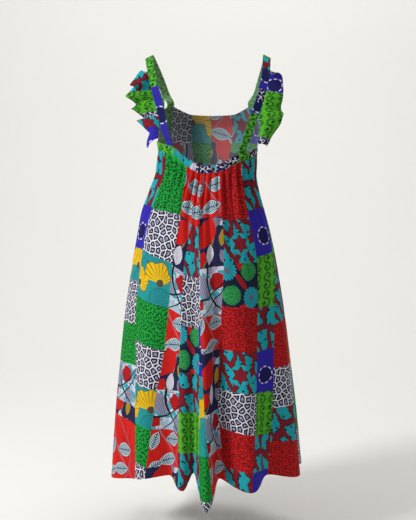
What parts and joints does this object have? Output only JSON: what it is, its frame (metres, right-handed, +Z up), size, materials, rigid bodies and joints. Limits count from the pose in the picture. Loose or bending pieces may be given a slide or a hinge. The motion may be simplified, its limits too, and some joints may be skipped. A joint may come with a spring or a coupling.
{
  "type": "ankara wax print dress",
  "caption": "Sleeveless patchwork wax print dress with a scooped elastic back, gathered flared skirt, shoulder straps and armhole ruffles, in its worn hollow form.",
  "frame": {"origin": "midway between the tops of the two shoulder straps, where the wearer's shoulders carry the dress", "axes": "+Z up; -Y towards the open, scooped back of the dress; +Y towards its front; -X towards the wearer's left"},
  "size_m": [0.5717, 0.5088, 1.261],
  "materials": {
    "patchwork_cotton": "patchwork wax print on plain-woven cotton, matt with a faint starch sheen",
    "ruffle_cotton": "the same wax print cotton, single layer with a narrow hem",
    "strap_cotton": "the same wax print cotton, folded and edge-stitched",
    "casing_cotton": "the same wax print cotton, gathered over elastic"
  },
  "bodies": {
    "root": {"skirt_back_left": "patchwork_cotton", "skirt_back_right": "patchwork_cotton", "skirt_front": "patchwork_cotton", "back_casing": "casing_cotton", "bodice_front": "patchwork_cotton", "strap_left": "strap_cotton", "strap_right": "strap_cotton", "ruffle_left": "ruffle_cotton", "ruffle_right": "ruffle_cotton"}
  },
  "joints": []
}
